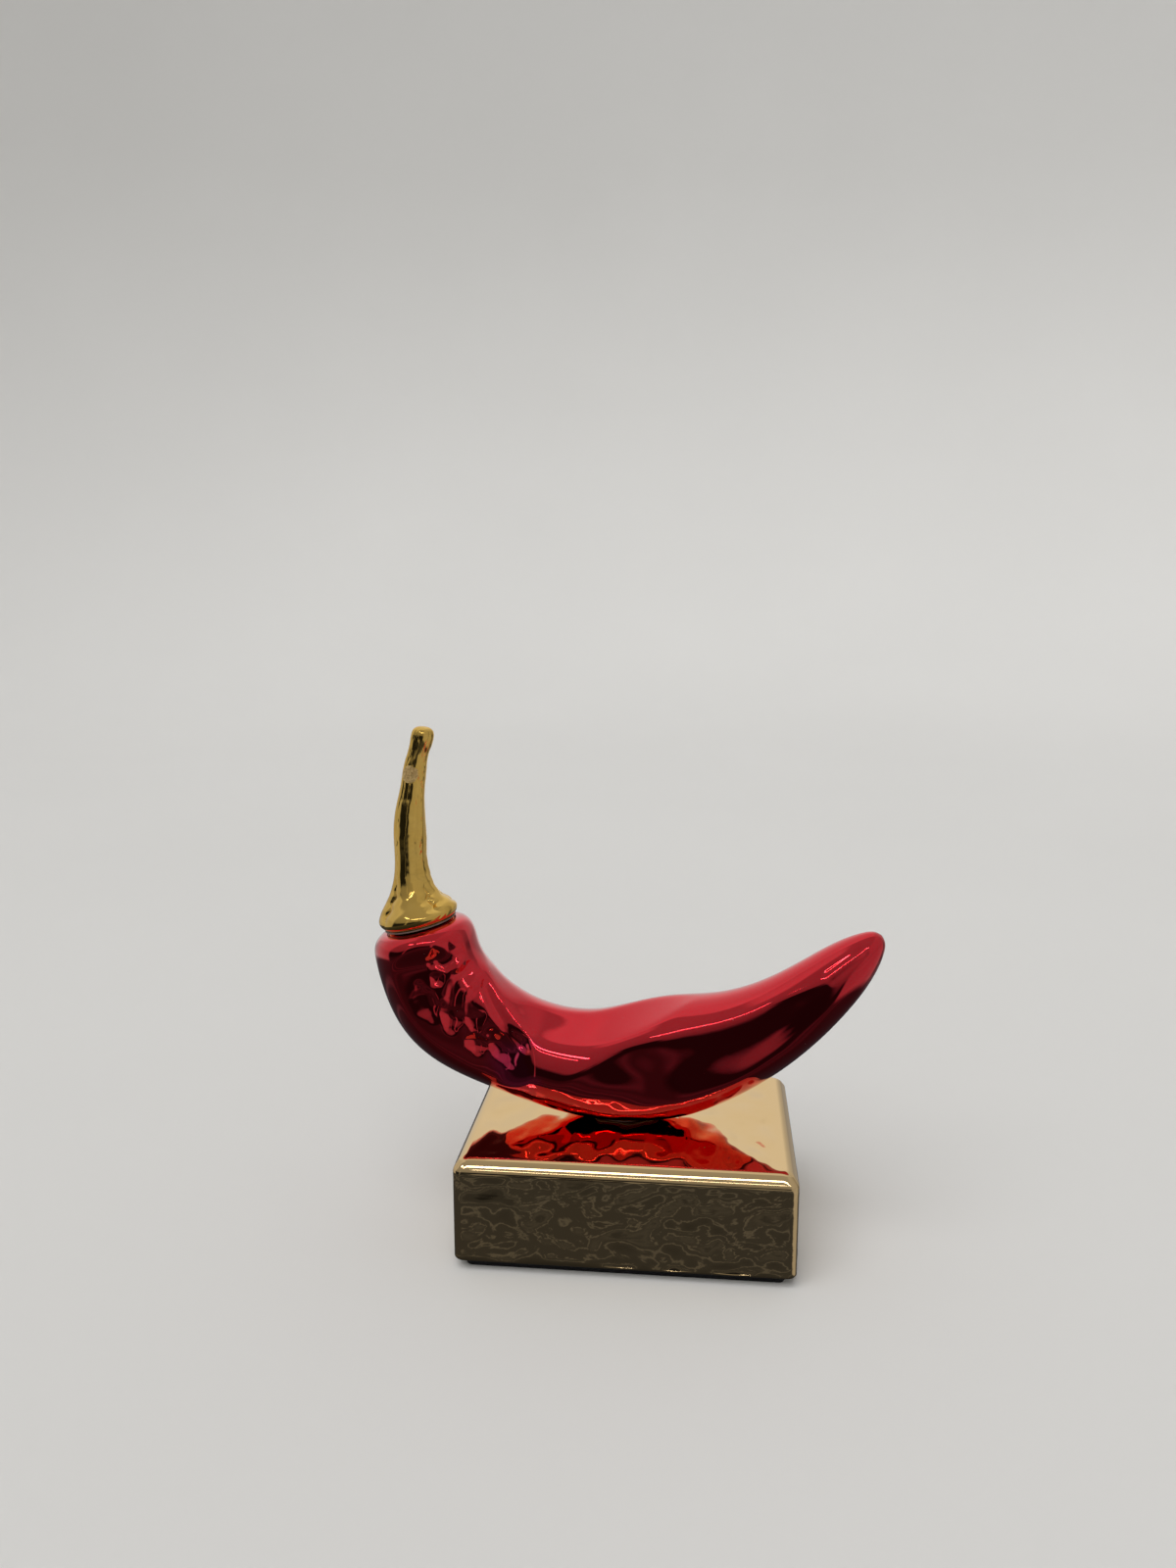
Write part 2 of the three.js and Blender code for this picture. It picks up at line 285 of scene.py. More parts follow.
# Drift of creases and ridges: degrees, radians for each millimetre, and start in radians
CREASE_DRIFT = ((3.5, 1.9, 0), (2.5, 0.83, 1))
RIDGE_DRIFT = ((4, 0.21, 0), (2.5, 0.63, 2), (1.2, 1.7, 0))
RIDGE_LEVEL = 25
RIDGE_CRISPNESS = 1.6
# Lengthwise ridges of the stem: degrees round from the left, width in degrees, and height as a share
# of the radius
STEM_RIDGES = (
    (42, 6, -0.022),
    (70, 6, 0.012),
    (92, 12, 0.05),
    (126, 13, -0.065),
    (156, 9, 0.025),
    (205, 18, 0.07),
    (252, 12, 0.09),
    (300, 14, 0.06),
    (340, 10, 0.03),
)
LUMP_HEIGHT = 0.04
LUMP_SIZE = 3.2
LUMP_STRETCH = 0.25
LUMP_RADIUS = 3
LUMP_START = 1
LUMP_BLEND = 4
WRINKLE_HEIGHT = 0.035
WRINKLE_SIZE = 1.4
WRINKLE_BANDS = ((22, 5), (12, 3))

# Glue
NECK_BEAD_RING = 11.0
NECK_BEAD = 0.26
NECK_BEAD_HEIGHT = -2.3
BELLY_BEAD_X = -2.0
BELLY_BEAD_REACH = (10.0, 5.0)
BELLY_BEAD_SWELL = 0.5
BELLY_BEAD_MIDDLE = 0.2
BELLY_BEAD_HALF = 0.25
# Wobble of the belly bead's outline: share, waves round it, and start in radians
BELLY_BEAD_WOBBLE = ((0.06, 3, 1), (0.03, 7, 0))
NECK_BEAD_STEPS = 96
NECK_BEAD_SIDES = 12
BELLY_BEAD_STEPS = 72
BELLY_BEAD_RINGS = 11

# Pad
PAD_LOW, PAD_HIGH = (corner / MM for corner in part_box("base_pad"))
PAD_CORNER = 2.0
PAD_TRIM = 0.5
PAD_BULGE = 0.25
PAD_RINGS = 9


# Curves

def spline(points):
    """A natural cubic spline through points, as a function of the chord length along them."""
    points = np.array(points, float)
    knots = np.r_[0, np.cumsum(np.linalg.norm(np.diff(points, axis=0), axis=1))]
    gaps = np.diff(knots)
    count = len(points)
    matrix = np.eye(count)
    right = np.zeros_like(points)
    slopes = np.diff(points, axis=0) / gaps[:, None]
    for i in range(1, count - 1):
        matrix[i, i - 1:i + 2] = gaps[i - 1], 2 * (gaps[i - 1] + gaps[i]), gaps[i]
        right[i] = 6 * (slopes[i] - slopes[i - 1])
    bends = np.linalg.solve(matrix, right)

    def at(where):
        where = np.clip(where, 0, knots[-1])
        i = np.clip(np.searchsorted(knots, where) - 1, 0, count - 2)
        gap = gaps[i][:, None]
        a = ((knots[i + 1] - where) / gaps[i])[:, None]
        b = 1 - a
        curve = (a ** 3 - a) * bends[i] + (b ** 3 - b) * bends[i + 1]
        return a * points[i] + b * points[i + 1] + curve * gap ** 2 / 6

    return at, knots[-1]


def samples(points, count):
    """Points evenly spaced along a smooth curve through the given ones."""
    at, length = spline(points)
    fine = at(np.linspace(0, length, FINE_STEPS))
    run = np.r_[0, np.cumsum(np.linalg.norm(np.diff(fine, axis=0), axis=1))]
    even = np.linspace(0, run[-1], count)
    return np.stack([np.interp(even, run, fine[:, k]) for k in range(fine.shape[1])], axis=1)


def frames_along(spine, distances):
    """Centres and upper-side directions of the sections at distances along a centreline."""
    fine = samples(spine, SPINE_STEPS)
    run = np.r_[0, np.cumsum(np.linalg.norm(np.diff(fine, axis=0), axis=1))]
    along = np.gradient(fine, run, axis=0)
    along /= np.linalg.norm(along, axis=1)[:, None]
    inside = np.clip(distances, 0, run[-1])
    centre = np.stack([np.interp(inside, run, fine[:, k]) for k in (0, 1)], axis=1)
    ahead = np.stack([np.interp(inside, run, along[:, k]) for k in (0, 1)], axis=1)
    centre += ahead * (distances - inside)[:, None]
    up = np.stack([-ahead[:, 1], ahead[:, 0]], axis=1)
    return centre, up


def tube(spine, distances, radii, angles):
    """Rows of points round a centreline; radii has a row for each distance and a column for each angle."""
    centre, up = frames_along(spine, distances)
    x = centre[:, :1] + radii * np.cos(angles) * up[:, :1]
    y = -radii * np.sin(angles)
    z = centre[:, 1:] + radii * np.cos(angles) * up[:, 1:]
    return np.stack([x, y, z], axis=2)


# Meshes

def skin(name, rows, looped=False):
    """A closed mesh over rows of points that go round; the ends get a fan unless the rows form a loop."""
    count, sides = rows.shape[:2]
    points = rows.reshape(-1, 3)
    index = np.arange(count * sides).reshape(count, sides)
    if looped:
        index = np.vstack([index, index[:1]])
    a, b = index[:-1], index[1:]
    quads = np.stack([a, np.roll(a, -1, 1), np.roll(b, -1, 1), b], axis=2).reshape(-1, 4).tolist()
    if not looped:
        ends = np.stack([rows[0].mean(0), rows[-1].mean(0)])
        points = np.vstack([points, ends])
        first, last = len(points) - 2, len(points) - 1
        quads += [[first, int(j), int(i)] for i, j in zip(index[0], np.roll(index[0], -1))]
        quads += [[last, int(i), int(j)] for i, j in zip(index[-1], np.roll(index[-1], -1))]
    mesh = bpy.data.meshes.new(name)
    mesh.from_pydata((points * MM).tolist(), [], quads)
    mesh.validate()
    mesh.shade_smooth()
    piece = bpy.data.objects.new(name, mesh)
    bpy.context.scene.collection.objects.link(piece)
    return piece


def place(piece, node, material):
    """Give a piece its material, hide the CAD node that it stands for, and hang it on the root body."""
    piece.data.materials.append(material)
    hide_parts(node)
    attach(piece, "root")


def ripples(points, size, seed):
    """A smooth random height between about -1 and 1 for each point, with lumps of a size."""
    offset = Vector([seed * step for step in SEED_STEP])
    flat = points.reshape(-1, 3) / size
    heights = [noise.noise(Vector(p) + offset) for p in flat.tolist()]
    return np.array(heights).reshape(points.shape[:-1])


def waves(points, kinds):
    """Random waves of several kinds, each given as height, size, share along Y and seed."""
    return sum(
        height * ripples(points * [1.0, share, 1.0], size, seed)
        for height, size, share, seed in kinds
    )


def drift(where, kinds):
    """A sum of sines, each given as size, radians for each step and start."""
    return sum(size * np.sin(where * pace + start) for size, pace, start in kinds)


def blurred(grid, steps, axis, wrap):
    """A grid smoothed along one axis by a bell curve of a width in steps."""
    reach = int(3 * steps) + 1
    weights = np.exp(-0.5 * (np.arange(-reach, reach + 1) / steps) ** 2)
    weights /= weights.sum()
    ends = [(0, 0), (0, 0)]
    ends[axis] = (reach, reach)
    padded = np.pad(grid, ends, mode="wrap" if wrap else "edge")
    smooth = np.zeros_like(grid)
    for step, weight in enumerate(weights):
        window = [slice(None), slice(None)]
        window[axis] = slice(step, step + grid.shape[axis])
        smooth += weight * padded[tuple(window)]
    return smooth


# Relief of the fruit

def route_reach(route, distance, degrees, radius):
    """How far each place on the fruit is from a route, and from the nearer of the route's ends along it."""
    steps = list(zip(route, route[1:]))
    spans = [math.hypot(s1 - s0, math.radians(d1 - d0) * ROUTE_RADIUS) for (s0, d0), (s1, d1) in steps]
    starts = np.r_[0, np.cumsum(spans)]
    nearest = np.full(np.broadcast(distance, degrees).shape, np.inf)
    run = np.zeros_like(nearest)
    for ((s0, d0), (s1, d1)), start, span in zip(steps, starts, spans):
        turn = np.radians((degrees - d0 + 180) % 360 - 180) * radius
        across = math.radians(d1 - d0) * radius
        along = s1 - s0
        part = ((distance - s0) * along + turn * across) / (along ** 2 + across ** 2)
        part = np.clip(part, 0, 1)
        away = np.hypot(distance - s0 - part * along, turn - part * across)
        run = np.where(away < nearest, start + part * span, run)
        nearest = np.minimum(nearest, away)
    return nearest, np.minimum(run, starts[-1] - run), starts[-1]


def fold_depth(fold, distance, degrees, radius):
    """Depth of a groove, below zero for a ridge: it fades towards the ends of its route."""
    away, end, length = route_reach(fold["route"], distance, degrees, radius)
    fade = np.clip(end / min(fold.get("ends", FOLD_ENDS * fold["width"]), length / 2), 0, 1)
    fade = fade * fade * (3 - 2 * fade)
    return fold["depth"] * fade * np.exp(-(away / fold["width"]) ** fold["crisp"])


def dent_depth(dent, distance, degrees, radius):
    """Depth of a bowl: its half-width shrinks towards the ends of its route."""
    away, end, length = route_reach(dent["route"], distance, degrees, radius)
    full = np.clip(0.5 + end / min(DENT_ENDS * dent["width"], length / 2), 0, 1)
    return dent["depth"] * full * np.clip(1 - (away / (dent["width"] * full)) ** dent["shape"], 0, None)


def face_depth(face, distance, degrees, radius):
    """Depth of a flat face: as deep as a chord of its width is, so that a round section turns flat."""
    away, end, _ = route_reach(face["route"], distance, degrees, radius)
    share = np.clip(end / face["taper"], 0, 1)
    width = face["width"] * share * (2 - share) * np.minimum(radius / FULL_RADIUS, 1)
    return np.clip(width ** 2 - away ** 2, 0, None) / (2 * radius)


def softened(depth, softness, step, around):
    """Relief blurred over a softness in millimetres, where the grid's steps are also in millimetres."""
    return blurred(blurred(depth, softness / step, 0, False), softness / around, 1, True)


def fruit_relief(distance, degrees, radius):
    """Depth of every dent, face and fold, with a row for each distance and a column for each angle."""
    depth = np.zeros(np.broadcast(distance, degrees).shape)
    flat = np.zeros_like(depth)
    for dent in FRONT_DENTS + BACK_DENTS:
        depth = np.maximum(depth, dent_depth(dent, distance, degrees, radius))
    for face in (CRUMPLED_FACE, UPPER_FACE, RIGHT_FACE):
        flat = np.maximum(flat, face_depth(face, distance, degrees, radius))
    unrolled = np.stack(np.broadcast_arrays(distance, np.radians(degrees) * FLAT_RADIUS, 0.0), axis=2)
    crush = np.abs(ripples(unrolled, CRUSH_SIZE, seed=5))
    depth += CRUSH_DEPTH * crush * np.clip(depth / CRUSH_START, 0, 1)
    depth += sum(fold_depth(fold, distance, degrees, radius) for fold in FOLDS)
    step = float(np.median(np.diff(distance[:, 0])))
    around = math.radians(degrees[0, 1]) * FLAT_RADIUS
    return softened(depth, SKIN_SOFTNESS, step, around) + softened(flat, FACE_SOFTNESS, step, around)


# Pieces

def make_fruit():
    """The fruit's outside with its relief, and a plain cavity that opens at the neck."""
    angles = np.linspace(0, 2 * math.pi, FRUIT_SIDES, endpoint=False)
    outside = samples(FRUIT_PROFILE, FRUIT_ROWS)
    distance, radius = outside[:, :1], outside[:, 1:]
    relief = fruit_relief(distance, np.degrees(angles)[None, :], np.maximum(radius, 1))
    radii = np.maximum(radius - relief, radius * DEEPEST_SHARE)
    outer = tube(FRUIT_SPINE, outside[:, 0], radii, angles)
    outer += FRUIT_WAVE * ripples(outer, FRUIT_WAVE_SIZE, seed=3)[..., None] * np.array(FRUIT_WAVE_SHARES)
    outer[..., 2] = np.maximum(outer[..., 2], BELLY_FLAT)
    inside = np.linspace(CAVITY_END, NECK_DEPTH + 1, CAVITY_ROWS)
    plain = np.interp(inside, outside[:, 0], outside[:, 1]) - FRUIT_WALL
    cavity_distance = np.r_[inside, NECK_DEPTH, 0.0]
    cavity_radius = np.r_[plain, NECK_BORE, NECK_BORE]
    cavity = tube(FRUIT_SPINE, cavity_distance, cavity_radius[:, None] + 0 * angles, angles)
    return skin("fruit", np.concatenate([cavity, outer[:-1]])[:, ::-1])


def crease_pull(degrees, height):
    """How far into a crease between the calyx's lobes each place is: 0 on a lobe, 1 in the crease."""
    turned = degrees - height * CREASE_TWIST - drift(height, CREASE_DRIFT)
    turned = (turned - CREASES[0]) % 360 + CREASES[0]
    pull = np.zeros(np.broadcast(degrees, height).shape)
    for start, end in zip(CREASES, (*CREASES[1:], CREASES[0] + 360)):
        across = np.clip((turned - start) / (end - start), 0, 1)
        inside = (turned >= start) & (turned < end)
        pull = np.where(inside, 1 - np.sin(math.pi * across) ** CREASE_SHARPNESS, pull)
    return pull


def ridge_lift(degrees, height):
    """Lengthwise ridges of the stem, which drift and twist a little, as a share of the radius."""
    turned = degrees - (height - RIDGE_LEVEL) * CREASE_TWIST - drift(height, RIDGE_DRIFT)
    lift = np.zeros(np.broadcast(degrees, height).shape)
    for middle, width, rise in STEM_RIDGES:
        away = (turned - middle + 180) % 360 - 180
        lift += rise * np.exp(-np.abs(away / width) ** RIDGE_CRISPNESS)
    return lift


def make_stem():
    """The calyx and the stem above its rim, and the underside with the spigot."""
    angles = np.linspace(0, 2 * math.pi, STEM_SIDES, endpoint=False)
    degrees = np.degrees(angles)[None, :]
    above = samples(STEM_PROFILE, STEM_ROWS)
    height, radius = above[:, :1], above[:, 1:]
    rise = np.clip(height / CREASE_RISE, 0, 1)
    crease = (CREASE_AT_RIM + CREASE_GAIN * rise * rise * (3 - 2 * rise)) * crease_pull(degrees, height)
    stem_part = np.clip((height - STEM_START) / STEM_BLEND, 0, 1)
    depth = crease * (1 - CREASE_LOSS * stem_part) - stem_part * ridge_lift(degrees, height)
    upper = tube(STEM_SPINE, above[:, 0] + SPIGOT_LENGTH, radius * (1 - depth), angles)
    lumps = LUMP_HEIGHT * ripples(upper * [1, 1, LUMP_STRETCH], LUMP_SIZE, seed=7)
    wrinkled = sum(np.exp(-((height - middle) / reach) ** 2) for middle, reach in WRINKLE_BANDS)
    wrinkles = WRINKLE_HEIGHT * wrinkled * ripples(upper, WRINKLE_SIZE, seed=9)
    fade = np.clip(radius / LUMP_RADIUS, 0, 1) * np.clip((height - LUMP_START) / LUMP_BLEND, 0, 1)
    outward = radius * (1 - depth) + (lumps + wrinkles) * fade
    upper = tube(STEM_SPINE, above[:, 0] + SPIGOT_LENGTH, outward, angles)
    lower_heights = np.array([h for h, _ in STEM_UNDERSIDE[:-1]])
    lower_radii = np.array([[r] for _, r in STEM_UNDERSIDE[:-1]])
    lower = tube(STEM_SPINE, lower_heights + SPIGOT_LENGTH, lower_radii + 0 * angles, angles)
    return skin("stem", np.concatenate([lower, upper[:-1]]))


def rounded_rectangle(width, depth, corner, height):
    """A ring of points: a fixed number for each side and each corner."""
    x, y = width / 2 - corner, depth / 2 - corner
    ring = []
    turns = np.linspace(0, math.pi / 2, CORNER_STEPS)
    middles = ((x, y), (-x, y), (-x, -y), (x, -y))
    for quarter, ((cx, cy), steps) in enumerate(zip(middles, SIDE_STEPS)):
        arc = turns + quarter * math.pi / 2
        ring += [(cx + corner * math.cos(t), cy + corner * math.sin(t)) for t in arc]
        nx, ny = middles[(quarter + 1) % 4]
        end = arc[-1]
        start_point = np.array((cx + corner * math.cos(end), cy + corner * math.sin(end)))
        end_point = np.array((nx + corner * math.cos(end), ny + corner * math.sin(end)))
        shares = np.linspace(0, 1, steps + 1)[1:-1, None]
        ring += (start_point + (end_point - start_point) * shares).tolist()
    return np.array([(px, py, height) for px, py in ring])


def block_ring(inset, height):
    """A ring of the block, inset from its widest outline; its corners get tighter with the inset."""
    corner = max(BLOCK_CORNER - CORNER_SHRINK * inset, SMALLEST_CORNER)
    return rounded_rectangle(BLOCK_WIDTH - 2 * inset, BLOCK_DEPTH - 2 * inset, corner, height)


def top_edge():
    """The rounded top edge as (inset, rise) pairs: an arc that stays for a while at the band's slope."""
    turns = np.linspace(0, math.pi / 2, EDGE_STEPS)
    pace = 1 + BAND_SHARE * np.exp(-((turns - BAND_SLOPE) / BAND_SPREAD) ** 2)
    inset = np.r_[0, np.cumsum(pace * np.sin(turns))]
    rise = np.r_[0, np.cumsum(pace * np.cos(turns))]
    run = np.r_[0, np.cumsum(pace)]
    even = np.linspace(0, run[-1], EDGE_RINGS)
    inset = np.interp(even, run, inset / inset[-1])
    rise = np.interp(even, run, rise / rise[-1])
    return BLOCK_TOP_ROUND * np.stack([inset, rise], axis=1)


def block_rings():
    """The hollow's rings, then the outside's from the foot up and in to the middle of the top."""
    hollow = [
        block_ring(2 * BLOCK_WALL, BLOCK_TOP - BLOCK_WALL),
        block_ring(BLOCK_WALL, BLOCK_TOP - 2 * BLOCK_WALL),
        block_ring(BLOCK_WALL, BLOCK_FOOT),
    ]
    outside = []
    for turn in np.linspace(0, math.pi / 2, FOOT_RINGS):
        inset = BLOCK_FOOT_ROUND * (1 - math.sin(turn))
        outside.append(block_ring(inset, BLOCK_FOOT + BLOCK_FOOT_ROUND * (1 - math.cos(turn))))
    low, high = BLOCK_FOOT + BLOCK_FOOT_ROUND, BLOCK_TOP - BLOCK_TOP_ROUND
    outside += [block_ring(0, height) for height in np.linspace(low, high, FACE_RINGS)[1:-1]]
    outside += [block_ring(inset, high + rise) for inset, rise in top_edge()]
    middle = BLOCK_DEPTH / 2 - MIDDLE_SLIT
    outside += [block_ring(inset, BLOCK_TOP) for inset in np.linspace(BLOCK_TOP_ROUND, middle, TOP_RINGS)[1:]]
    return np.array(hollow), np.array(outside)


def make_block():
    """The hollow block, with waves over its top and its four sides but not over its rounded edges."""
    hollow, outside = block_rings()
    inset_x = BLOCK_WIDTH / 2 - np.abs(outside[..., 0])
    inset_y = BLOCK_DEPTH / 2 - np.abs(outside[..., 1])
    below = BLOCK_TOP - outside[..., 2]
    on_top = below < ON_FACE
    inner = np.clip((np.minimum(inset_x, inset_y) - BLOCK_TOP_ROUND) / TOP_WAVE_FADE, 0, 1)
    outside[..., 2] += waves(outside, TOP_WAVES) * inner * on_top
    under_edge = np.clip((below - BLOCK_TOP_ROUND) / SIDE_WAVE_FADE, 0, 1)
    above_foot = np.clip((outside[..., 2] - BLOCK_FOOT) / FOOT_WAVE_FADE, 0, 1)
    side_waves = waves(outside, SIDE_WAVES) * (under_edge * above_foot)
    outside[..., 0] += side_waves * (inset_x < ON_FACE) * np.sign(outside[..., 0])
    outside[..., 1] += side_waves * (inset_y < ON_FACE) * np.sign(outside[..., 1])
    return skin("block", np.concatenate([hollow, outside]))


def make_pad():
    """The pad, with sides that bulge a little between the table and the block."""
    width, depth = PAD_HIGH.x - PAD_LOW.x, PAD_HIGH.y - PAD_LOW.y
    rings = []
    for share in np.linspace(0, 1, PAD_RINGS):
        bulge = PAD_BULGE * math.sin(math.pi * share)
        height = PAD_LOW.z + share * (BLOCK_FOOT - PAD_LOW.z)
        wider = 2 * bulge - PAD_TRIM
        rings.append(rounded_rectangle(width + wider, depth + wider, PAD_CORNER, height))
    return skin("pad", np.array(rings))


def make_neck_bead():
    """A thin round bead of glue in the gap between the calyx and the fruit."""
    turns = np.linspace(0, 2 * math.pi, NECK_BEAD_STEPS, endpoint=False)
    rounds = np.linspace(0, 2 * math.pi, NECK_BEAD_SIDES, endpoint=False)
    ring = NECK_BEAD_RING + NECK_BEAD * np.cos(rounds)[:, None]
    x, y = ring * np.cos(turns), ring * np.sin(turns)
    z = NECK_BEAD * np.sin(rounds)[:, None] + NECK_BEAD_HEIGHT + 0 * turns
    cos, sin = math.cos(NECK_TILT), math.sin(NECK_TILT)
    tilted = np.stack([RIM_CENTRE[0] + x * cos - z * sin, y, RIM_CENTRE[1] + x * sin + z * cos], axis=2)
    return skin("neck_bead", tilted[::-1], looped=True)


def make_belly_bead():
    """A flat blob of glue between the fruit's belly and the block, with a wobbly outline."""
    turns = np.linspace(0, 2 * math.pi, BELLY_BEAD_STEPS, endpoint=False)
    wobble = 1 + drift(turns, BELLY_BEAD_WOBBLE)
    rings = []
    for share in np.linspace(-1, 1, BELLY_BEAD_RINGS):
        spread = math.sqrt(max(1 - share ** 2, 0)) * BELLY_BEAD_SWELL
        x = BELLY_BEAD_X + (BELLY_BEAD_REACH[0] + spread) * wobble * np.cos(turns)
        y = (BELLY_BEAD_REACH[1] + spread) * wobble * np.sin(turns)
        z = BLOCK_TOP + BELLY_BEAD_MIDDLE + BELLY_BEAD_HALF * share + 0 * turns
        rings.append(np.stack([x, y, z], axis=1))
    return skin("belly_bead", np.array(rings))


# Materials: pairs of colours that a noise blends, and places of the two local marks in millimetres

REDS = ((0.88, 0.006, 0.02), (0.95, 0.01, 0.03))
# The magenta is a painted reflection of coloured things in the room, laid into the red's own colour
PAINTED_MAGENTA_REFLECTION = (0.92, 0.012, 0.11)
DUST = (0.55, 0.4, 0.36)
YELLOW_GOLDS = ((0.98, 0.6, 0.12), (1.0, 0.68, 0.19))
WORN_TANS = ((0.42, 0.25, 0.08), (0.8, 0.58, 0.26))
PALE_GOLDS = ((0.93, 0.65, 0.31), (0.97, 0.71, 0.38))
FOAM_BLACKS = ((0.008, 0.008, 0.009), (0.02, 0.02, 0.022))
# Glue browns kept dark as painted shade in the gaps where the glue sits
SHADED_GLUE_BROWNS = ((0.12, 0.07, 0.06), (0.24, 0.17, 0.14))
ROOM_GREYS = ((0.74, 0.735, 0.72), (0.77, 0.765, 0.75))
# Where the painted magenta reflection sits on the fruit and how far it reaches, in millimetres
PAINTED_REFLECTION_SPOT = (-34.0, -14.0, 54.0)
PAINTED_REFLECTION_REACH = 11
WORN_SPOT = (-67.8, -3.6, 142.2)
WORN_REACH = 3.9


class NodeTree:
    """Helpers that add and join the nodes of a material or of the world."""

    def __init__(self, tree):
        self.nodes = tree.nodes
        self.links = tree.links

    def feed(self, socket, value):
        """Join another node's output to a socket, or set the socket to a number or a colour."""
        if isinstance(value, bpy.types.NodeSocket):
            self.links.new(value, socket)
        elif isinstance(value, tuple):
            socket.default_value = (*value, 1)
        else:
            socket.default_value = value

    def ranged(self, value, low, high, to_low, to_high, kind="LINEAR"):
        """A value moved from one range to another, and held at that range's ends."""
        node = self.nodes.new("ShaderNodeMapRange")
        node.interpolation_type = kind
        self.feed(node.inputs["Value"], value)
        for name, number in zip(("From Min", "From Max", "To Min", "To Max"), (low, high, to_low, to_high)):
            self.feed(node.inputs[name], number)
        return node.outputs["Result"]

    def maths(self, operation, a, b=0):
        node = self.nodes.new("ShaderNodeMath")
        node.operation = operation
        self.feed(node.inputs[0], a)
        self.feed(node.inputs[1], b)
        return node.outputs["Value"]

    def times(self, first, *others):
        """The product of two or more values."""
        for other in others:
            first = self.maths("MULTIPLY", first, other)
        return first

    def mix(self, factor, first, second):
        """A blend of two colours."""
        node = self.nodes.new("ShaderNodeMix")
        node.data_type = "RGBA"
        self.feed(node.inputs["Factor"], factor)
        self.feed(node.inputs["A"], first)
        self.feed(node.inputs["B"], second)
        return node.outputs["Result"]


class Shader(NodeTree):
    """A Principled material."""

    def __init__(self, name):
        self.material = bpy.data.materials.new(name)
        self.material.use_nodes = True
        super().__init__(self.material.node_tree)
        self.surface = self.nodes["Principled BSDF"]
        self.place = self.nodes.new("ShaderNodeTexCoord").outputs["Object"]

    def set(self, **values):
        """Set the surface's own inputs, named with underscores for spaces."""
        for name, value in values.items():
            self.surface.inputs[name.replace("_", " ")].default_value = value

    def join(self, output, name):
        self.links.new(output, self.surface.inputs[name])

    def noise(self, scale, detail=2.0, roughness=0.5, distortion=0.0):
        node = self.nodes.new("ShaderNodeTexNoise")
        node.inputs["Scale"].default_value = scale
        node.inputs["Detail"].default_value = detail
        node.inputs["Roughness"].default_value = roughness
        node.inputs["Distortion"].default_value = distortion
        self.links.new(self.place, node.inputs["Vector"])
        return node.outputs["Fac"]

    def spots(self, scale, size):
        """One inside scattered round spots, nought between them."""
        node = self.nodes.new("ShaderNodeTexVoronoi")
        node.inputs["Scale"].default_value = scale
        self.links.new(self.place, node.inputs["Vector"])
        return self.ranged(node.outputs["Distance"], size, size * 0.6, 0, 1)

    def near(self, point, reach):
        """One within half a reach of a point, nought beyond the reach, both in millimetres."""
        node = self.nodes.new("ShaderNodeVectorMath")
        node.operation = "DISTANCE"
        self.links.new(self.place, node.inputs[0])
        node.inputs[1].default_value = Vector(point) * MM
        return self.ranged(node.outputs["Value"], reach * MM, reach * 0.5 * MM, 0, 1)

    def bump(self, height, strength, distance):
        """Fine bumps from a height between nought and one, over a distance in millimetres."""
        node = self.nodes.new("ShaderNodeBump")
        node.inputs["Strength"].default_value = strength
        node.inputs["Distance"].default_value = distance * MM
        self.links.new(height, node.inputs["Height"])
        self.links.new(node.outputs["Normal"], self.surface.inputs["Normal"])


def red_coat():
    """Mirror-like red with a clear coat, a painted magenta reflection low in the crumpled hollow and specks
    of dust.
    """
    shader = Shader("red_coat")
    shader.set(Metallic=1.0, Coat_Weight=1.0, Coat_Roughness=0.02, Coat_IOR=1.5)
    colour = shader.mix(shader.noise(45, 3, 0.55), *REDS)
    # Painted reflection: patches of magenta mixed into the red, low in the crumpled hollow
    reflection_patches = shader.ranged(shader.noise(110, 1), 0.42, 0.52, 0, 1)
    painted_reflection = shader.times(shader.near(PAINTED_REFLECTION_SPOT, PAINTED_REFLECTION_REACH), reflection_patches)
    colour = shader.mix(painted_reflection, colour, PAINTED_MAGENTA_REFLECTION)
    dust = shader.spots(130, 0.02)
    shader.join(shader.mix(dust, colour, DUST), "Base Color")
    gloss = shader.ranged(shader.noise(70, 3, 0.6), 0.3, 0.7, 0.02, 0.05)
    shader.join(shader.maths("ADD", gloss, shader.times(dust, 0.5)), "Roughness")
    shader.bump(shader.noise(420, 2, 0.5), 0.25, 0.03)
    return shader.material


def gold_stem():
    """Mirror-like yellow gold with small lumps, and a matte grainy spot where it has worn."""
    shader = Shader("gold_stem")
    grain = shader.noise(1500, 3, 0.7)
    ragged = shader.times(shader.noise(500, 2), 0.9)
    worn = shader.maths("ADD", shader.near(WORN_SPOT, WORN_REACH), ragged)
    worn = shader.ranged(worn, 0.95, 1.1, 0, 1)
    colour = shader.mix(shader.noise(120, 3, 0.6), *YELLOW_GOLDS)
    matte = shader.mix(shader.ranged(grain, 0.35, 0.65, 0, 1), *WORN_TANS)
    shader.join(shader.mix(worn, colour, matte), "Base Color")
    shader.join(shader.ranged(worn, 0, 1, 1, 0.55), "Metallic")
    gloss = shader.ranged(shader.noise(160, 3, 0.6), 0.3, 0.75, 0.05, 0.16)
    shader.join(shader.maths("ADD", gloss, shader.times(worn, 0.4)), "Roughness")
    lumps = shader.noise(700, 2, 0.5, 0.6)
    rough = shader.times(grain, 1.6, worn)
    shader.bump(shader.maths("ADD", lumps, rough), 0.25, 0.06)
    return shader.material


